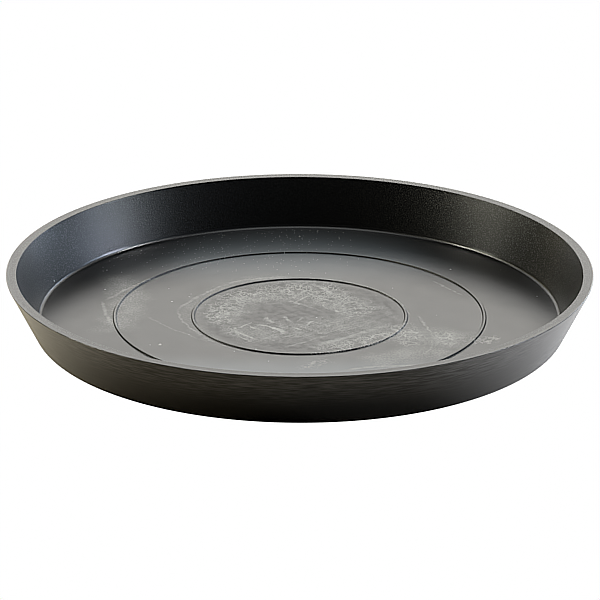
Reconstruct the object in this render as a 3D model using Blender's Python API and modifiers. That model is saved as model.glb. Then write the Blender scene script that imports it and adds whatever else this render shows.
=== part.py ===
"""A round plant saucer moulded in one piece, in metres, standing on the ground plane at the origin."""

import math

import bpy
from mathutils import Matrix, Vector

# Overall size, with the rim measured to its corner before the edge is eased
RIM_DIAMETER = 0.3606
HEIGHT = 0.0380

# Wall and rim
WALL_LEAN = math.radians(26.8)
RIM_WIDTH = 0.0065
WALL_WIDTH_AT_FLOOR = 0.0051
RIM_OUTER_EDGE_RADIUS = 0.0005
RIM_INNER_EDGE_RADIUS = 0.0004
FLOOR_EDGE_RADIUS = 0.0025
HEEL_RADIUS = 0.0080

# Floor, and the foot ring that lifts it off the ground
FLOOR_THICKNESS = 0.0044
FOOT_HEIGHT = 0.0038
FOOT_WIDTH = 0.0140
FOOT_DRAFT = math.radians(20)
FOOT_EDGE_RADIUS = 0.0010
RECESS_CORNER_RADIUS = 0.0020

# Raised rings on the floor, counted inwards from the wall
RING_COUNT = 2
OUTER_RING_INSET = 0.0465
RING_SPACING = 0.0481
RING_CREST_WIDTH = 0.0011
RING_FLANK_WIDTH = 0.00075
RING_HEIGHT = 0.0009

# Fineness of the turned surface
TURN_STEPS = 96
FLANK_STEPS = 4
ARC_STEP = math.radians(20)
MERGE_DISTANCE = 0.00001
LARGE_FACE_WEIGHT = 100

# Dark grey moulded plastic with a satin skin
PLASTIC_COLOUR = (0.024, 0.024, 0.025, 1.0)
PLASTIC_ROUGHNESS = 0.30
PLASTIC_METALLIC = 0.0


def outer_wall_radius(height):
    """Radius of the outer face of the wall at a height above the ground."""
    return RIM_DIAMETER / 2 - (HEIGHT - height) * math.tan(WALL_LEAN)


def eased_corner(before, corner, after, radius):
    """Arc that eases one corner of the section, no longer than half of either edge beside it."""
    to_before = before - corner
    to_after = after - corner
    half_angle = to_before.angle(to_after) / 2
    reach = min(radius / math.tan(half_angle), to_before.length / 2, to_after.length / 2)
    start = corner + to_before.normalized() * reach
    end = corner + to_after.normalized() * reach
    middle = to_before.normalized() + to_after.normalized()
    centre = corner + middle.normalized() * (reach / math.cos(half_angle))
    spoke = start - centre
    sweep = spoke.angle_signed(end - centre)
    steps = math.ceil(abs(sweep) / ARC_STEP)
    turns = [Matrix.Rotation(-sweep * step / steps, 2) for step in range(steps + 1)]
    return [centre + turn @ spoke for turn in turns]


def raised_ring(radius, floor):
    """Section of one ring: a flat crest, with a flank on each side that eases into it and into the floor."""
    flank = []
    for step in range(FLANK_STEPS + 1):
        share = step / FLANK_STEPS
        rise = RING_HEIGHT * (1 + math.cos(math.pi * share)) / 2
        flank.append(Vector((RING_CREST_WIDTH / 2 + share * RING_FLANK_WIDTH, floor + rise)))
    inner_flank = [Vector((radius - point.x, point.y)) for point in reversed(flank)]
    outer_flank = [Vector((radius + point.x, point.y)) for point in flank]
    return inner_flank + outer_flank


def saucer_section():
    """Half section, from the middle of the floor out over the rim and back under the foot to the axis."""
    rim_radius = RIM_DIAMETER / 2
    floor = FOOT_HEIGHT + FLOOR_THICKNESS
    well_radius = outer_wall_radius(floor) - WALL_WIDTH_AT_FLOOR
    foot_inner_radius = outer_wall_radius(0) - FOOT_WIDTH
    recess_radius = foot_inner_radius - FOOT_HEIGHT * math.tan(FOOT_DRAFT)

    points = [Vector((0, floor))]
    for place in reversed(range(RING_COUNT)):
        ring_radius = well_radius - OUTER_RING_INSET - place * RING_SPACING
        points += raised_ring(ring_radius, floor)

    recess_middle = Vector((0, FOOT_HEIGHT))
    corners = [
        (Vector((well_radius, floor)), FLOOR_EDGE_RADIUS),
        (Vector((rim_radius - RIM_WIDTH, HEIGHT)), RIM_INNER_EDGE_RADIUS),
        (Vector((rim_radius, HEIGHT)), RIM_OUTER_EDGE_RADIUS),
        (Vector((outer_wall_radius(0), 0)), HEEL_RADIUS),
        (Vector((foot_inner_radius, 0)), FOOT_EDGE_RADIUS),
        (Vector((recess_radius, FOOT_HEIGHT)), RECESS_CORNER_RADIUS),
    ]
    route = [points[-1]] + [corner for corner, radius in corners] + [recess_middle]
    for place, (corner, radius) in enumerate(corners, start=1):
        points += eased_corner(route[place - 1], corner, route[place + 1], radius)
    return points + [recess_middle]


def plastic():
    """One moulded material, coloured right through."""
    material = bpy.data.materials.new("saucer_plastic")
    material.use_nodes = True
    shader = material.node_tree.nodes["Principled BSDF"]
    shader.inputs["Base Color"].default_value = PLASTIC_COLOUR
    shader.inputs["Roughness"].default_value = PLASTIC_ROUGHNESS
    shader.inputs["Metallic"].default_value = PLASTIC_METALLIC
    material.diffuse_color = PLASTIC_COLOUR
    return material


def turned(name, section):
    """Object made by turning a half section once round the upright axis."""
    vertices = [(point.x, 0, point.y) for point in section]
    edges = [(place, place + 1) for place in range(len(section) - 1)]
    mesh = bpy.data.meshes.new(name)
    mesh.from_pydata(vertices, edges, [])
    body = bpy.data.objects.new(name, mesh)
    screw = body.modifiers.new("Turn", "SCREW")
    screw.axis = "Z"
    screw.angle = 2 * math.pi
    screw.steps = TURN_STEPS
    screw.render_steps = TURN_STEPS
    screw.use_merge_vertices = True
    screw.merge_threshold = MERGE_DISTANCE
    screw.use_smooth_shade = True
    flats = body.modifiers.new("Even shading on the flats", "WEIGHTED_NORMAL")
    flats.weight = LARGE_FACE_WEIGHT
    return body


for leftover in list(bpy.data.objects):
    bpy.data.objects.remove(leftover, do_unlink=True)

saucer = turned("saucer", saucer_section())
saucer.data.materials.append(plastic())

collection = bpy.data.collections.new("round_plant_saucer")
bpy.context.scene.collection.children.link(collection)
collection.objects.link(saucer)
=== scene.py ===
"""Looks of the round plant saucer: a worn dark plastic moulding on a white studio floor."""

import math

import bmesh
import bpy
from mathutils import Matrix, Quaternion, Vector


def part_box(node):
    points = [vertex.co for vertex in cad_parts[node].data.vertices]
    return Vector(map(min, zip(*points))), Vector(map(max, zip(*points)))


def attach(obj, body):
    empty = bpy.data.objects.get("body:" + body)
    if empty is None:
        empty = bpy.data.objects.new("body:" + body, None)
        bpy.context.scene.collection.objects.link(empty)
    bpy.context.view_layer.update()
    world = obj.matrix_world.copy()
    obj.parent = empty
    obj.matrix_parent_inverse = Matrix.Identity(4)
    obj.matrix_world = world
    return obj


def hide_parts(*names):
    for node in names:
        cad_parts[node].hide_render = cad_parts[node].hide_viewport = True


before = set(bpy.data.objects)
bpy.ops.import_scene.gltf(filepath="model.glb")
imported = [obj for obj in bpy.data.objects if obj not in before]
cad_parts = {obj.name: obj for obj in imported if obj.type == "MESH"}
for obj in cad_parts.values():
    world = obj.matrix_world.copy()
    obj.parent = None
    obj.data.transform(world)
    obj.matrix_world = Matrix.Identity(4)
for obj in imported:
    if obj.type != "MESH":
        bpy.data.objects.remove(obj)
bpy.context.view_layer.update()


# The saucer is one injection moulding in dark plastic: a flat floor with two low raised rings, a leaning
# wall with a flat rim, and a foot ring under it that lifts the floor off the ground.
# Its half section is drawn from the middle of the floor outwards and turned once round the axis.
saucer_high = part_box("saucer")[1]
rim_height = saucer_high.z
wall_lean = math.radians(26.8)
rim_width = 0.0065
wall_width_at_floor = 0.0051
wall_bow = 0.0005
floor_top = 0.0082
recess_height = 0.0038
foot_width = 0.0140
foot_draft = math.radians(20)
rim_outer_easing = 0.0005
rim_inner_easing = 0.0004
floor_edge_easing = 0.0025
heel_easing = 0.0080
foot_easing = 0.0010
recess_easing = 0.0020
outer_ring_inset = 0.0465
ring_spacing = 0.0481
ring_crest = 0.0011
ring_flank = 0.00075
inner_ring_height = 0.0007
outer_ring_height = 0.0009
ring_rows = 8
wall_rows = 8
corner_rows = 8
longest_row = 0.0025
halvings = 6
turn_steps = 288
merge_distance = 0.00001

rim_corner_angle = math.radians(90) - wall_lean
rim_corner_radius = saucer_high.x + rim_outer_easing * (1 / math.tan(rim_corner_angle / 2) - 1)
well_radius = rim_corner_radius - (rim_height - floor_top) * math.tan(wall_lean) - wall_width_at_floor
heel_radius = rim_corner_radius - rim_height * math.tan(wall_lean)
foot_inner_radius = heel_radius - foot_width
recess_radius = foot_inner_radius - recess_height * math.tan(foot_draft)
outer_ring_radius = well_radius - outer_ring_inset
inner_ring_radius = outer_ring_radius - ring_spacing

bpy.ops.object.select_all(action="DESELECT")
bpy.ops.mesh.primitive_plane_add(size=rim_width)
saucer = bpy.context.object
saucer.name = "moulded_saucer"
bpy.ops.object.mode_set(mode="EDIT")
bpy.ops.mesh.select_all(action="SELECT")
bpy.ops.mesh.merge(type="CENTER")
bpy.ops.transform.translate(value=(0, 0, floor_top))
pen = Vector((0, floor_top))


def draw_to(radius, height):
    """Carries the half section on in a straight line."""
    step = Vector((radius, height)) - pen
    bpy.ops.mesh.extrude_vertices_move(TRANSFORM_OT_translate={"value": (step.x, 0, step.y)})
    pen.xy = radius, height


def draw_ring(ring_radius, ring_height):
    """Carries the half section over a raised ring: up one flank, over the flat crest and down the other."""
    for side in (-1, 1):
        for row in range(ring_rows + 1):
            out = row / ring_rows if side > 0 else 1 - row / ring_rows
            rise = ring_height * (1 + math.cos(math.pi * out)) / 2
            draw_to(ring_radius + side * (ring_crest / 2 + out * ring_flank), floor_top + rise)


draw_ring(inner_ring_radius, inner_ring_height)
draw_ring(outer_ring_radius, outer_ring_height)

rim_inner_corner = Vector((rim_corner_radius - rim_width, rim_height))
corners = [
    (Vector((well_radius, floor_top)), floor_edge_easing),
    (rim_inner_corner, rim_inner_easing),
    (Vector((rim_corner_radius, rim_height)), rim_outer_easing),
    (Vector((heel_radius, 0)), heel_easing),
    (Vector((foot_inner_radius, 0)), foot_easing),
    (Vector((recess_radius, recess_height)), recess_easing),
]
route = [pen.copy()] + [corner for corner, easing in corners] + [Vector((0, recess_height))]
for corner in route[1:]:
    if corner == rim_inner_corner:
        wall_foot = pen.copy()
        for row in range(1, wall_rows):
            up = row / wall_rows
            bowed = wall_foot.lerp(corner, up) - Vector((wall_bow * 4 * up * (1 - up), 0))
            draw_to(bowed.x, bowed.y)
    draw_to(corner.x, corner.y)

# Each corner is found by its place in the section and eased by a round bevel. Long runs are then halved
# until no row is wider than the longest one, so that the turned faces stay even.
corner_reach = rim_inner_easing / 4
for before, (corner, easing), after in zip(route, corners, route[2:]):
    half_angle = (before - corner).angle(after - corner) / 2
    section = bmesh.from_edit_mesh(saucer.data)
    for point in section.verts:
        point.select = (point.co.xz - corner).length < corner_reach
    bmesh.update_edit_mesh(saucer.data)
    bpy.ops.mesh.bevel(
        offset=easing / math.tan(half_angle),
        offset_type="OFFSET",
        segments=corner_rows,
        profile=0.5,
        affect="VERTICES",
    )

for halving in range(halvings):
    bpy.ops.mesh.select_mode(type="EDGE")
    bpy.ops.mesh.select_all(action="DESELECT")
    section = bmesh.from_edit_mesh(saucer.data)
    for run in section.edges:
        run.select = run.calc_length() > longest_row
    bmesh.update_edit_mesh(saucer.data)
    bpy.ops.mesh.subdivide(number_cuts=1)

bpy.ops.mesh.select_mode(type="VERT")
bpy.ops.mesh.select_all(action="SELECT")
bpy.ops.mesh.spin(steps=turn_steps, angle=2 * math.pi, center=(0, 0, 0), axis=(0, 0, 1))
bpy.ops.mesh.select_all(action="SELECT")
bpy.ops.mesh.remove_doubles(threshold=merge_distance)
bpy.ops.mesh.normals_make_consistent(inside=False)
bpy.ops.object.mode_set(mode="OBJECT")
bpy.ops.object.shade_smooth()
bpy.ops.object.modifier_add(type="WEIGHTED_NORMAL")
bpy.ops.object.modifier_apply(modifier=saucer.modifiers[-1].name)


def add_node(tree, kind, inputs, **settings):
    """Adds a node, and gives each input a value, or a link where an output is given."""
    node = tree.nodes.new(kind)
    for name, value in settings.items():
        setattr(node, name, value)
    for socket, value in inputs.items():
        if isinstance(value, bpy.types.NodeSocket):
            tree.links.new(value, node.inputs[socket])
        else:
            node.inputs[socket].default_value = value
    return node


def calculate(tree, operation, first, second=0.0, third=0.0):
    """Output of a Math node on numbers or on other outputs."""
    return add_node(tree, "ShaderNodeMath", {0: first, 1: second, 2: third}, operation=operation).outputs[0]


def product(tree, *factors):
    """Output of several masks or numbers multiplied together."""
    result = factors[0]
    for factor in factors[1:]:
        result = calculate(tree, "MULTIPLY", result, factor)
    return result


def strongest(tree, *masks):
    """Output that is the highest of several masks at each point."""
    result = masks[0]
    for mask in masks[1:]:
        result = calculate(tree, "MAXIMUM", result, mask)
    return result


def fade(tree, value, start, end):
    """Output that goes smoothly from 0 where the value is at start to 1 where it is at end."""
    limits = {"Value": value, "From Min": start, "From Max": end}
    return add_node(tree, "ShaderNodeMapRange", limits, interpolation_type="SMOOTHSTEP").outputs["Result"]


def spread(tree, value, low, high):
    """Output that goes from low to high as the value goes from 0 to 1."""
    limits = {"Value": value, "To Min": low, "To Max": high}
    return add_node(tree, "ShaderNodeMapRange", limits).outputs["Result"]


def blend(tree, share, first, second):
    """Output that goes from the first number to the second as the share goes from 0 to 1."""
    return add_node(tree, "ShaderNodeMix", {0: share, 2: first, 3: second}).outputs[0]


def tinted(tree, share, first, second):
    """Output that goes from the first colour to the second as the share goes from 0 to 1."""
    return add_node(tree, "ShaderNodeMix", {0: share, 6: first, 7: second}, data_type="RGBA").outputs[2]


def cloud(tree, vector, scale, detail):
    """Output of soft noise, with so many patches to the metre."""
    noise = {"Vector": vector, "Scale": scale, "Detail": detail}
    return add_node(tree, "ShaderNodeTexNoise", noise).outputs["Fac"]


def split(tree, vector):
    """The three axes of a vector, by name."""
    return add_node(tree, "ShaderNodeSeparateXYZ", {"Vector": vector}).outputs


def combine(tree, **axes):
    """Vector put together from the named axes, with 0 for the others."""
    return add_node(tree, "ShaderNodeCombineXYZ", axes).outputs["Vector"]


def length(tree, vector):
    """Output of how long a vector is."""
    return add_node(tree, "ShaderNodeVectorMath", {0: vector}, operation="LENGTH").outputs["Value"]


def vector_step(tree, operation, inputs):
    """Vector that comes out of a Vector Math node."""
    return add_node(tree, "ShaderNodeVectorMath", inputs, operation=operation).outputs["Vector"]


def new_group(name, inputs, output):
    """Shader node group with the named inputs and one number as its output, and the sockets inside it."""
    group = bpy.data.node_groups.new(name, "ShaderNodeTree")
    for label, kind in inputs:
        group.interface.new_socket(label, in_out="INPUT", socket_type=kind)
    group.interface.new_socket(output, in_out="OUTPUT", socket_type="NodeSocketFloat")
    return group, group.nodes.new("NodeGroupInput").outputs, group.nodes.new("NodeGroupOutput").inputs


# A smear is where something was wiped, or where a film of water dried: a bowed band with soft edges.
# Reach holds half its length and half its width, and bow how far its ends bend over, in half widths.
smear, given, result = new_group(
    "bowed_smear",
    [
        ("Vector", "NodeSocketVector"),
        ("Middle", "NodeSocketVector"),
        ("Turn", "NodeSocketVector"),
        ("Reach", "NodeSocketVector"),
        ("Bow", "NodeSocketFloat"),
        ("Strength", "NodeSocketFloat"),
    ],
    "Mask",
)
smear_frame = {
    "Vector": given["Vector"],
    "Location": given["Middle"],
    "Rotation": given["Turn"],
    "Scale": given["Reach"],
}
smear_place = add_node(smear, "ShaderNodeMapping", smear_frame, vector_type="TEXTURE").outputs["Vector"]
smear_axes = split(smear, smear_place)
smear_along = calculate(smear, "ABSOLUTE", smear_axes["X"])
smear_bend = product(smear, calculate(smear, "POWER", smear_along, 2.0), given["Bow"])
smear_across = calculate(smear, "ABSOLUTE", calculate(smear, "SUBTRACT", smear_axes["Y"], smear_bend))
smear_ends = fade(smear, smear_along, 1.0, 0.6)
smear_edges = fade(smear, smear_across, 1.0, 0.1)
smear.links.new(product(smear, smear_ends, smear_edges, given["Strength"]), result["Mask"])

# Drawn grain is fine noise stretched one way: around the saucer, or up its wall and out over its floor.
# Around is how many streaks there are to the radian, and along is how many to the metre of the section.
grain, given, result = new_group(
    "drawn_grain",
    [("Vector", "NodeSocketVector"), ("Around", "NodeSocketFloat"), ("Along", "NodeSocketFloat")],
    "Grain",
)
grain_axes = split(grain, given["Vector"])
grain_flat = combine(grain, X=grain_axes["X"], Y=grain_axes["Y"])
grain_spoke = vector_step(grain, "NORMALIZE", {0: grain_flat})
grain_turn = vector_step(grain, "SCALE", {0: grain_spoke, "Scale": given["Around"]})
grain_section = calculate(grain, "ADD", grain_axes["Z"], length(grain, grain_flat))
grain_rise = combine(grain, Z=product(grain, grain_section, given["Along"]))
grain_place = vector_step(grain, "ADD", {0: grain_turn, 1: grain_rise})
grain.links.new(cloud(grain, grain_place, 1.0, 3.0), result["Grain"])

# The plastic is near black right through, with a satin skin. Use has polished the floor, which mirrors the
# studio, and has worn fine brush lines round the outer wall. Water that dried on the floor has left chalky
# nets, veins and tide lines, and a pale film brightens the floor at the front and at the back.
chalk_colour = (0.36, 0.36, 0.345, 1)
film_colour = (0.42, 0.48, 0.53, 1)
speck_colour = (0.48, 0.49, 0.49, 1)
wall_tones = (0.002, 0.085)
floor_tones = (0.003, 0.006)
haze_strength = 0.42
film_strength = 0.165
wall_roughness = 0.28
floor_roughness = (0.29, 0.34)
grain_roughness = (0.06, 0.10)
flank_dulling = 0.20
disc_dulling = 0.056
chalk_dulling = 0.05
grain_relief = 0.0004
grain_relief_strength = 0.22
rim_gloss = 0.45
foot_gloss = 0.50
gloss_roughness = 0.12
edge_blur = 0.0001
plastic = bpy.data.materials.new("worn_dark_plastic")
plastic.use_nodes = True
tree = plastic.node_tree
place = tree.nodes.new("ShaderNodeTexCoord").outputs["Object"]

# Masks of the parts of the saucer: X runs to the right of the picture, Y to the back of it and Z up.
axes = split(tree, place)
flat = combine(tree, X=axes["X"], Y=axes["Y"])
radius = length(tree, flat)
off_middle = calculate(tree, "ABSOLUTE", axes["X"])
wall_start = floor_top + 0.0018
wall_full = floor_top + 0.0028
below_wall = fade(tree, axes["Z"], wall_full, wall_start)
inside_well = fade(tree, radius, well_radius + 0.0040, well_radius + 0.0030)
above_recess = fade(tree, axes["Z"], floor_top - 0.0010, floor_top - 0.0002)
on_floor = product(tree, below_wall, inside_well, above_recess)
leaning_radius = calculate(tree, "MULTIPLY_ADD", axes["Z"], -math.tan(wall_lean), radius)
outside = fade(tree, leaning_radius, heel_radius - 0.0030, heel_radius - 0.0018)
inside = calculate(tree, "SUBTRACT", 1.0, outside)
above_floor = fade(tree, axes["Z"], wall_start, wall_full)
below_rim = fade(tree, axes["Z"], rim_height - 0.0004, rim_height - 0.0012)
inner_wall = product(tree, above_floor, below_rim, inside)
off_inner_ring = calculate(tree, "ABSOLUTE", calculate(tree, "SUBTRACT", radius, inner_ring_radius))
off_outer_ring = calculate(tree, "ABSOLUTE", calculate(tree, "SUBTRACT", radius, outer_ring_radius))
off_ring = calculate(tree, "MINIMUM", off_inner_ring, off_outer_ring)
crest_edge = ring_crest / 2
flank_edge = ring_crest / 2 + ring_flank
off_crest = fade(tree, off_ring, crest_edge, crest_edge + edge_blur)
by_ring = fade(tree, off_ring, flank_edge, flank_edge - edge_blur)
on_flank = product(tree, off_crest, by_ring, on_floor)


def wander(vector, scale, detail, distance):
    """Vector pushed sideways by noise, so that what it carries runs unevenly."""
    noise = add_node(tree, "ShaderNodeTexNoise", {"Vector": vector, "Scale": scale, "Detail": detail})
    push = vector_step(tree, "SUBTRACT", {0: noise.outputs["Color"], 1: (0.5, 0.5, 0.5)})
    return vector_step(tree, "MULTIPLY_ADD", {0: push, 1: (distance, distance, 0.0), 2: vector})


def smears(vector, strokes):
    """Strongest of several smears, each with a start, an end, a bow, a width and a strength."""
    masks = []
    for start, end, bow, width, strength in strokes:
        run = Vector(end) - Vector(start)
        values = {
            "Vector": vector,
            "Middle": Vector(start).lerp(Vector(end), 0.5).to_3d(),
            "Turn": (0, 0, math.atan2(run.y, run.x)),
            "Reach": (run.length / 2, width / 2, 1),
            "Bow": bow / (width / 2),
            "Strength": strength,
        }
        masks.append(add_node(tree, "ShaderNodeGroup", values, node_tree=smear).outputs["Mask"])
    return strongest(tree, *masks)


# Dried water: tide lines where it stood, wipes and veins where it ran, patches of net and of haze, zones
# of streaks and wrinkles, and a crust beside the inner ring. Each is laid out on the floor as smears, all
# but the crust in places that noise has pushed out of line.
line_place = wander(wander(flat, 60.0, 2.0, 0.005), 260.0, 2.0, 0.0025)
vein_place = wander(wander(flat, 180.0, 2.0, 0.0030), 520.0, 2.0, 0.0030)
patch_place = wander(flat, 90.0, 3.0, 0.016)
turn = calculate(tree, "ARCTAN2", axes["X"], axes["Y"])
drying_place = combine(tree, X=product(tree, turn, 0.045), Y=product(tree, radius, 0.6))
net_place = wander(wander(drying_place, 120.0, 2.0, 0.005), 560.0, 2.0, 0.0030)

tide_lines = smears(
    line_place,
    [
        ((-0.008, 0.074), (-0.050, 0.058), 0.004, 0.0030, 0.35),
        ((-0.046, 0.060), (-0.079, 0.010), 0.004, 0.0030, 0.40),
        ((-0.079, 0.012), (-0.062, -0.036), 0.004, 0.0026, 0.35),
        ((-0.074, -0.010), (-0.052, -0.046), 0.003, 0.0020, 0.25),
        ((-0.062, -0.036), (-0.030, -0.065), 0.003, 0.0024, 0.25),
        ((-0.097, 0.000), (-0.060, -0.042), 0.001, 0.0022, 0.20),
        ((-0.089, 0.072), (-0.123, 0.026), 0.003, 0.0034, 0.45),
        ((-0.123, 0.026), (-0.116, -0.015), 0.001, 0.0034, 0.50),
        ((0.010, 0.070), (0.053, 0.044), -0.004, 0.0026, 0.35),
        ((0.050, 0.047), (0.072, 0.000), -0.004, 0.0022, 0.45),
        ((0.072, 0.002), (0.083, -0.039), 0.000, 0.0020, 0.55),
        ((0.083, -0.039), (0.076, -0.066), -0.002, 0.0022, 0.50),
        ((0.081, 0.063), (0.102, 0.036), 0.001, 0.0020, 0.30),
        ((0.081, -0.037), (0.103, -0.042), -0.002, 0.0018, 0.45),
    ],
)
wipes = smears(
    line_place,
    [
        ((0.004, -0.057), (0.058, -0.012), 0.000, 0.0070, 0.50),
        ((-0.011, -0.055), (0.018, -0.033), 0.000, 0.0028, 0.45),
        ((-0.028, -0.044), (0.008, -0.027), 0.002, 0.0034, 0.30),
        ((0.000, -0.040), (0.034, -0.016), 0.000, 0.0026, 0.25),
        ((0.024, -0.090), (0.074, -0.081), -0.003, 0.0034, 0.60),
        ((-0.006, 0.028), (0.016, 0.006), 0.000, 0.0030, 0.30),
    ],
)
veins = smears(
    vein_place,
    [
        ((-0.044, -0.021), (-0.026, -0.042), 0.001, 0.0028, 1.0),
        ((-0.040, -0.018), (-0.037, -0.039), 0.000, 0.0026, 0.9),
        ((-0.039, -0.033), (-0.029, -0.045), 0.000, 0.0024, 0.9),
        ((-0.038, -0.022), (-0.028, -0.010), 0.001, 0.0020, 0.8),
        ((-0.032, -0.016), (-0.025, -0.024), 0.000, 0.0020, 0.8),
        ((-0.028, -0.011), (-0.006, -0.029), -0.004, 0.0026, 0.9),
        ((-0.014, -0.020), (-0.008, -0.032), -0.001, 0.0050, 0.8),
        ((-0.022, -0.001), (-0.016, -0.013), 0.001, 0.0040, 0.8),
        ((-0.010, 0.000), (-0.006, -0.010), 0.000, 0.0034, 0.8),
        ((-0.003, -0.010), (0.003, -0.002), 0.000, 0.0028, 0.6),
        ((-0.006, -0.018), (0.002, -0.025), 0.000, 0.0024, 0.7),
        ((0.004, -0.017), (0.008, -0.008), 0.000, 0.0026, 0.9),
        ((-0.014, 0.038), (-0.005, 0.051), 0.000, 0.0026, 0.7),
        ((-0.006, 0.030), (0.005, 0.046), 0.000, 0.0028, 0.9),
        ((-0.004, 0.022), (0.006, 0.037), 0.000, 0.0024, 0.9),
        ((-0.008, 0.028), (0.002, 0.019), 0.000, 0.0024, 0.6),
        ((0.002, 0.042), (0.022, 0.023), 0.002, 0.0026, 0.9),
        ((0.010, 0.055), (0.023, 0.036), -0.001, 0.0034, 0.9),
        ((0.012, 0.024), (0.018, 0.009), 0.002, 0.0022, 0.8),
        ((0.020, 0.017), (0.024, 0.006), 0.000, 0.0024, 0.8),
        ((-0.0862, -0.0500), (-0.0836, -0.0500), 0.000, 0.0040, 1.0),
    ],
)
net_patches = smears(
    patch_place,
    [
        ((-0.058, -0.016), (-0.030, 0.054), -0.006, 0.034, 1.0),
        ((-0.042, 0.040), (0.034, 0.050), -0.010, 0.044, 1.0),
        ((0.004, 0.054), (0.046, -0.002), -0.006, 0.042, 1.0),
        ((0.008, -0.066), (0.064, -0.024), 0.003, 0.022, 0.8),
        ((0.060, -0.012), (0.072, -0.054), 0.000, 0.026, 0.9),
        ((0.078, -0.032), (0.098, -0.046), 0.000, 0.028, 0.9),
        ((0.104, -0.046), (0.122, -0.036), 0.000, 0.016, 0.8),
        ((0.000, -0.090), (0.020, -0.074), 0.000, 0.014, 0.6),
        ((-0.046, -0.012), (-0.028, -0.048), 0.000, 0.022, 0.6),
    ],
)
haze_patches = smears(
    patch_place,
    [
        ((-0.104, 0.076), (-0.108, -0.034), -0.010, 0.036, 1.3),
        ((-0.004, 0.074), (-0.054, 0.054), 0.006, 0.016, 0.8),
        ((-0.046, 0.060), (-0.074, 0.006), 0.006, 0.016, 0.9),
        ((-0.076, 0.014), (-0.052, -0.050), 0.006, 0.014, 0.6),
        ((0.000, 0.068), (0.074, -0.010), -0.012, 0.012, 0.7),
        ((-0.056, -0.020), (-0.022, 0.046), -0.006, 0.036, 1.0),
        ((-0.034, 0.046), (0.046, 0.014), -0.020, 0.040, 0.8),
        ((-0.050, -0.036), (0.060, -0.010), 0.004, 0.052, 1.1),
        ((0.000, -0.062), (0.066, -0.016), 0.002, 0.028, 1.0),
        ((0.056, -0.026), (0.112, -0.044), 0.000, 0.040, 1.0),
        ((0.038, -0.082), (0.092, -0.054), 0.000, 0.034, 1.6),
    ],
)
streak_zone = smears(
    patch_place,
    [
        ((-0.046, -0.044), (0.058, -0.008), 0.000, 0.050, 0.40),
        ((-0.030, 0.034), (0.040, 0.020), 0.000, 0.040, 0.25),
    ],
)
wrinkle_zone = smears(
    patch_place,
    [
        ((-0.050, -0.026), (0.046, -0.018), 0.004, 0.056, 0.60),
        ((-0.024, 0.036), (0.036, 0.018), 0.000, 0.034, 0.40),
        ((0.050, -0.030), (0.104, -0.046), 0.000, 0.044, 0.50),
    ],
)
crust_band = smears(
    flat,
    [
        ((0.0024, -0.0675), (0.0358, -0.0572), 0.0024, 0.0048, 1.6),
        ((0.0346, -0.0598), (0.0644, -0.0250), 0.0041, 0.0054, 2.0),
    ],
)


def cell_edges(vector, scale, start, end):
    """Mask of the lines between the cells of a net with so many cells to the metre."""
    cells = add_node(
        tree,
        "ShaderNodeTexVoronoi",
        {"Vector": vector, "Scale": scale},
        feature="DISTANCE_TO_EDGE",
        voronoi_dimensions="2D",
    )
    return fade(tree, cells.outputs["Distance"], start, end)


net_wide = cell_edges(net_place, 260.0, 0.09, 0.03)
net_fine = product(tree, cell_edges(net_place, 520.0, 0.14, 0.05), 0.7)
net_gaps = fade(tree, cloud(tree, flat, 130.0, 2.0), 0.32, 0.54)
net = product(tree, strongest(tree, net_wide, net_fine), net_gaps, net_patches)

streak_turn = math.radians(39)
streak_size = (0.014, 0.0011, 1)
streak_frame = {"Vector": flat, "Rotation": (0, 0, streak_turn), "Scale": streak_size}
streak_place = add_node(tree, "ShaderNodeMapping", streak_frame, vector_type="TEXTURE").outputs["Vector"]
streaks = product(tree, fade(tree, cloud(tree, streak_place, 1.0, 3.0), 0.50, 0.68), streak_zone)
wrinkle_gaps = fade(tree, cloud(tree, flat, 210.0, 2.0), 0.44, 0.62)
wrinkles = product(tree, cell_edges(vein_place, 300.0, 0.09, 0.02), wrinkle_gaps, wrinkle_zone)
crackle = fade(tree, cloud(tree, flat, 750.0, 2.0), 0.44, 0.64)
ring_crust = product(tree, crust_band, crackle)
line_gaps = spread(tree, fade(tree, cloud(tree, flat, 300.0, 2.0), 0.36, 0.56), 0.35, 1.0)
lines = strongest(tree, tide_lines, wipes, veins, streaks, wrinkles, ring_crust)
marks = strongest(tree, product(tree, lines, line_gaps), net)

haze_cloud = fade(tree, cloud(tree, flat, 60.0, 4.0), 0.30, 0.70)
haze_crackle = calculate(tree, "MULTIPLY_ADD", crackle, 0.5, 0.1)
haze_texture = calculate(tree, "MULTIPLY_ADD", haze_cloud, 0.45, haze_crackle)
haze = product(tree, haze_patches, haze_texture)
chalk = product(tree, calculate(tree, "MULTIPLY_ADD", haze, haze_strength, marks), on_floor)


# Dust: specks all over the inside, with many small ones at the back left. Apart from them, a thin pale film
# brightens the floor at the back and at the front, and doesn't hold on the steep flanks of the rings.
def speckle(scale, share, reach):
    """Mask of tiny round specks, in all but a share of the cells, with so many cells to the metre."""
    cells = add_node(tree, "ShaderNodeTexVoronoi", {"Vector": place, "Scale": scale})
    pick = add_node(tree, "ShaderNodeSeparateColor", {"Color": cells.outputs["Color"]}).outputs["Red"]
    dots = fade(tree, cells.outputs["Distance"], reach, reach / 2)
    return product(tree, dots, calculate(tree, "GREATER_THAN", pick, share))


speck_zone = product(tree, fade(tree, axes["Y"], 0.070, 0.105), fade(tree, axes["X"], 0.050, -0.010))
clear_of_wall = fade(tree, radius, well_radius - 0.0030, well_radius - 0.0050)
bare_share = spread(tree, speck_zone, 0.993, 0.30)
fine_specks = product(tree, speckle(430.0, bare_share, 0.18), clear_of_wall)
coarse_specks = speckle(190.0, 0.980, 0.15)
seen_from_above = product(tree, inside, above_recess)
specks = product(tree, strongest(tree, coarse_specks, fine_specks), seen_from_above)

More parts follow.
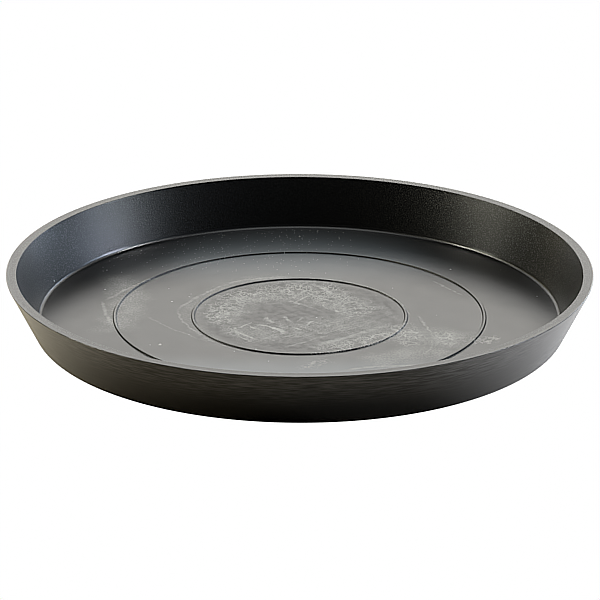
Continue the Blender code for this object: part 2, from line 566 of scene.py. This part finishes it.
film_side = spread(tree, fade(tree, axes["X"], 0.150, 0.000), 0.0, 0.6)
film_to_wall = product(tree, fade(tree, radius, 0.170, 0.130), film_side)
film_reach = calculate(tree, "MULTIPLY_ADD", fade(tree, radius, 0.145, 0.115), 0.6, film_to_wall)
film_middle = spread(tree, fade(tree, off_middle, 0.100, 0.060), 0.50, 1.15)
back_film = product(tree, fade(tree, axes["Y"], 0.045, 0.100), film_middle, film_reach)
both_films = calculate(tree, "MULTIPLY_ADD", fade(tree, axes["Y"], -0.060, -0.100), 1.50, back_film)
off_flank = calculate(tree, "SUBTRACT", on_floor, on_flank)
film = product(tree, both_films, off_flank, film_strength)

# Grain: brush lines round the outer wall, with painted light making them lighter towards the rim, and
# painted glints on the sides of the inner wall, which follow the grain of the mould.
brush_frame = {"Vector": place, "Around": 15, "Along": 1200}
brush_grain = add_node(tree, "ShaderNodeGroup", brush_frame, node_tree=grain).outputs["Grain"]
skin_grain = cloud(tree, place, 1300.0, 2.0)
floor_mottle = cloud(tree, flat, 70.0, 2.0)
brush_lines = spread(tree, fade(tree, brush_grain, 0.34, 0.68), 0.0, 0.80)
# Painted light: the brush lines are made lighter in colour towards the rim, standing in for the top of the
# outer wall catching more light than its foot.
brushed_with_painted_light = product(tree, brush_lines, fade(tree, axes["Z"], 0.010, 0.036))
# Painted glints: pale dots that follow the grain of the mould, kept to the sides of the inner wall where
# the lamps catch it, stand in for its highlights.
painted_sparkle = product(tree, fade(tree, skin_grain, 0.48, 0.70), fade(tree, off_middle, 0.075, 0.120))
wall_grain_and_painted_light = blend(tree, outside, painted_sparkle, brushed_with_painted_light)

# Colour: the bare plastic, with painted light in the wall's tone, then the pale film, the chalk and the
# specks over it.
wall_tone = spread(tree, wall_grain_and_painted_light, *wall_tones)
floor_tone = spread(tree, floor_mottle, *floor_tones)
tone = blend(tree, on_floor, wall_tone, floor_tone)
bare = add_node(tree, "ShaderNodeCombineColor", {"Red": tone, "Green": tone, "Blue": tone}).outputs["Color"]
filmed = tinted(tree, film, bare, film_colour)
chalky = tinted(tree, chalk, filmed, chalk_colour)
dusty = tinted(tree, specks, chalky, speck_colour)

# Gloss: satin on the wall and a little duller on its left, polished on the floor, and duller on the flanks
# of the rings, on worn patches of the middle and where there is chalk.
mould_grain = fade(tree, blend(tree, outside, skin_grain, brush_grain), 0.3, 0.7)
grain_depth = spread(tree, inner_wall, *grain_roughness)
grain_rough = calculate(tree, "MULTIPLY_ADD", mould_grain, grain_depth, wall_roughness)
dull_left = spread(tree, fade(tree, axes["X"], 0.04, -0.04), 0.0, 0.02)
wall_rough = calculate(tree, "MULTIPLY_ADD", inner_wall, dull_left, grain_rough)
floor_rough = spread(tree, floor_mottle, *floor_roughness)
bare_rough = blend(tree, on_floor, wall_rough, floor_rough)
flank_rough = calculate(tree, "MULTIPLY_ADD", on_flank, flank_dulling, bare_rough)
in_disc = fade(tree, radius, inner_ring_radius - 0.002, inner_ring_radius - 0.008)
dull_patches = fade(tree, cloud(tree, vein_place, 230.0, 3.0), 0.56, 0.40)
dull_disc = product(tree, in_disc, dull_patches, on_floor)
worn_rough = calculate(tree, "MULTIPLY_ADD", dull_disc, disc_dulling, flank_rough)
rough = calculate(tree, "MULTIPLY_ADD", chalk, chalk_dulling, worn_rough)

# The edge of the rim and the foot of the wall, away from its sides, are rubbed to a thin glossy line.
above_flat = fade(tree, axes["Z"], floor_top + 0.00002, floor_top + 0.0003)
by_wall = fade(tree, radius, well_radius - 0.0040, well_radius - 0.0030)
foot_of_wall = product(tree, above_flat, by_wall, on_floor, fade(tree, off_middle, 0.142, 0.124))
rim_outer_edge = fade(tree, radius, saucer_high.x - 0.0008, saucer_high.x - 0.0004)
rim_top = fade(tree, axes["Z"], rim_height - 0.0009, rim_height - 0.0006)
rim_edge = product(tree, rim_outer_edge, rim_top)
gloss = calculate(tree, "MULTIPLY_ADD", rim_edge, rim_gloss, product(tree, foot_of_wall, foot_gloss))

skin_relief = {
    "Height": product(tree, calculate(tree, "SUBTRACT", skin_grain, 0.5), inner_wall),
    "Strength": grain_relief_strength,
    "Distance": grain_relief,
}
bump = add_node(tree, "ShaderNodeBump", skin_relief)
skin = tree.nodes["Principled BSDF"]
skin.inputs["Coat Roughness"].default_value = gloss_roughness
tree.links.new(gloss, skin.inputs["Coat Weight"])
tree.links.new(dusty, skin.inputs["Base Color"])
tree.links.new(rough, skin.inputs["Roughness"])
tree.links.new(bump.outputs["Normal"], skin.inputs["Normal"])
saucer.data.materials.append(plastic)

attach(saucer, "root")
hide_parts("saucer")


# The studio floor is a white acrylic table that runs on past the picture on every side, a hair's breadth
# under the foot, so that no two faces share a plane. Near both ends it glows, cool on the right and warm on
# the left: painted light, an emission of the table itself and no lamp, which shines on the outer wall of
# the saucer. It is blown out to white in the camera.
table_size = 12
table_gap = 0.0001
table_colour = (0.76, 0.67, 0.54, 1)
cool_glow = (0.96, 0.99, 1.06, 1)
warm_glow = (1, 0.93, 0.74, 1)
right_glow_strength = 1.02
left_glow_strength = 0.56
picture_white = (1, 1, 1, 1)
bpy.ops.object.select_all(action="DESELECT")
bpy.ops.mesh.primitive_plane_add(size=table_size, location=(0, 0, -table_gap))
table = bpy.context.object
table.name = "white_table"
bpy.ops.object.transform_apply(location=True, rotation=False, scale=False)
acrylic = bpy.data.materials.new("white_acrylic")
acrylic.use_nodes = True
table_tree = acrylic.node_tree
table_place = table_tree.nodes.new("ShaderNodeTexCoord").outputs["Object"]
table_across = split(table_tree, table_place)["X"]
right_glow = product(table_tree, fade(table_tree, table_across, 0.07, 0.19), right_glow_strength)
left_glow = product(table_tree, fade(table_tree, table_across, -0.10, -0.20), left_glow_strength)
glow = calculate(table_tree, "ADD", right_glow, left_glow)
glow_colour = tinted(table_tree, fade(table_tree, table_across, 0.10, -0.10), cool_glow, warm_glow)
table_skin = table_tree.nodes["Principled BSDF"]
table_skin.inputs["Base Color"].default_value = table_colour
table_skin.inputs["Roughness"].default_value = 1
table_tree.links.new(glow_colour, table_skin.inputs["Emission Color"])
table_tree.links.new(glow, table_skin.inputs["Emission Strength"])
table_white = add_node(table_tree, "ShaderNodeEmission", {"Color": picture_white})
table_looks = {
    "Fac": table_tree.nodes.new("ShaderNodeLightPath").outputs["Is Camera Ray"],
    1: table_skin.outputs["BSDF"],
    2: table_white.outputs["Emission"],
}
table_mix = add_node(table_tree, "ShaderNodeMixShader", table_looks)
table_tree.links.new(table_mix.outputs["Shader"], table_tree.nodes["Material Output"].inputs["Surface"])
table.data.materials.append(acrylic)


# The studio light comes from white cards behind the saucer and from boxes and lamps at its sides, cooler
# on the right and warmer on the left. A high lamp on each side draws the bright line at the foot of the
# wall, a weak box hangs overhead, and the front stays dark.
def soft_box(name, azimuth, elevation, width, height, radiance, distance=2.0):
    """Hangs a rectangular light that faces the saucer, equally bright over its whole front."""
    light = bpy.data.lights.new(name, "AREA")
    light.shape = "RECTANGLE"
    light.size = width
    light.size_y = height
    light.energy = math.pi * width * height * max(radiance)
    light.color = Vector(radiance) / max(radiance)
    lamp = bpy.data.objects.new(name, light)
    bpy.context.scene.collection.objects.link(lamp)
    level = Vector((math.cos(math.radians(azimuth)), math.sin(math.radians(azimuth)), 0))
    rise = math.radians(elevation)
    direction = level * math.cos(rise) + Vector((0, 0, math.sin(rise)))
    lamp.location = direction * distance
    lamp.rotation_euler = direction.to_track_quat("Z", "Y").to_euler()
    lamp.visible_camera = False


soft_box("back_low_card", 90, 8.5, 3.6, 0.6, (0.70, 0.70, 0.68))
soft_box("back_card", 87, 18, 2.6, 0.2, (3.45, 3.35, 3.1))
soft_box("back_upper_card", 87, 24, 2.6, 0.2, (3.45, 3.4, 3.3))
soft_box("back_top_card", 87, 30, 2.6, 0.2, (1.75, 1.75, 1.7))
soft_box("back_right_low_box", 58, 15, 0.45, 0.35, (3.6, 4.1, 4.9))
soft_box("back_right_box", 45, 15, 0.45, 0.35, (6.4, 7.9, 9.9))
soft_box("right_fill_card", 52, 32, 0.6, 0.4, (1.8, 1.8, 1.8))
soft_box("right_bar", 16, 10, 0.7, 0.22, (3.4, 4.3, 5.5))
soft_box("right_lamp", 0, 25, 0.65, 0.22, (6.8, 8.6, 9.9))
soft_box("right_high_lamp", 13, 46, 0.6, 0.12, (42.0, 43.0, 44.0))
soft_box("right_spot", -4, 26, 0.25, 0.25, (10.0, 10.0, 9.2))
soft_box("right_low_box", 3, 14, 0.45, 0.35, (10.4, 11.0, 13.4))
soft_box("back_left_box", 135, 15, 0.45, 0.35, (1.9, 1.7, 1.1))
soft_box("left_fill_card", 128, 32, 0.6, 0.4, (1.8, 1.8, 1.7))
soft_box("left_bar", 156, 27, 0.32, 0.22, (3.8, 3.7, 2.6))
soft_box("left_lamp", 175, 35, 0.8, 0.25, (8.0, 7.6, 5.8))
soft_box("left_high_lamp", 168, 46, 0.45, 0.12, (38.0, 37.0, 33.5))
soft_box("left_high_bar", 155, 40, 0.3, 0.12, (18.0, 17.5, 15.5))
soft_box("left_spot", 180, 29, 0.25, 0.25, (10.0, 10.0, 8.6))
soft_box("left_low_box", 178, 15, 0.45, 0.35, (3.2, 3.2, 2.7))
soft_box("overhead_box", 90, 89, 1.6, 1.6, (0.8, 0.82, 0.82))

dark_room = 0.012
studio = bpy.data.worlds.new("studio")
studio.use_nodes = True
studio_tree = studio.node_tree
room = studio_tree.nodes["Background"]
room.inputs["Color"].default_value = picture_white
room_sight = studio_tree.nodes.new("ShaderNodeLightPath").outputs["Is Camera Ray"]
studio_tree.links.new(spread(studio_tree, room_sight, dark_room, 1), room.inputs["Strength"])
bpy.context.scene.world = studio
bpy.context.scene.view_settings.view_transform = "Standard"


# The camera stands well back with a long lens, as the little change of scale from front to back in the
# photograph shows. It looks down by about twenty degrees at the middle of the saucer's height.
camera_distance = 3.6
camera_elevation = math.radians(20.76)
camera_roll = math.radians(0.136)
focal_length = 351
sensor_width = 36
aim = Vector((0.0002, 0, 0.0187))
lens = bpy.data.cameras.new("camera")
lens.lens = focal_length
lens.sensor_width = sensor_width
camera = bpy.data.objects.new("camera", lens)
bpy.context.scene.collection.objects.link(camera)
camera.location = camera_distance * Vector((0, -math.cos(camera_elevation), math.sin(camera_elevation)))
sight = (aim - camera.location).to_track_quat("-Z", "Y")
camera.rotation_euler = (sight @ Quaternion((0, 0, 1), camera_roll)).to_euler()
bpy.context.scene.camera = camera


# The photograph looks sharpened: every edge in it has a dark and a light line beside it. The same is done
# here to the finished picture, in display brightness.
display_gamma = 2.2
sharpening = 0.16
bpy.context.scene.use_nodes = True
darkroom = bpy.context.scene.node_tree
darkroom.nodes.clear()
picture = add_node(darkroom, "CompositorNodeRLayers", {}).outputs["Image"]
to_display = add_node(darkroom, "CompositorNodeGamma", {"Image": picture, "Gamma": 1 / display_gamma})
sharpen_inputs = {"Image": to_display.outputs["Image"], "Fac": sharpening}
sharpen = add_node(darkroom, "CompositorNodeFilter", sharpen_inputs, filter_type="SHARPEN")
to_light_inputs = {"Image": sharpen.outputs["Image"], "Gamma": display_gamma}
to_light = add_node(darkroom, "CompositorNodeGamma", to_light_inputs)
add_node(darkroom, "CompositorNodeComposite", {"Image": to_light.outputs["Image"]})
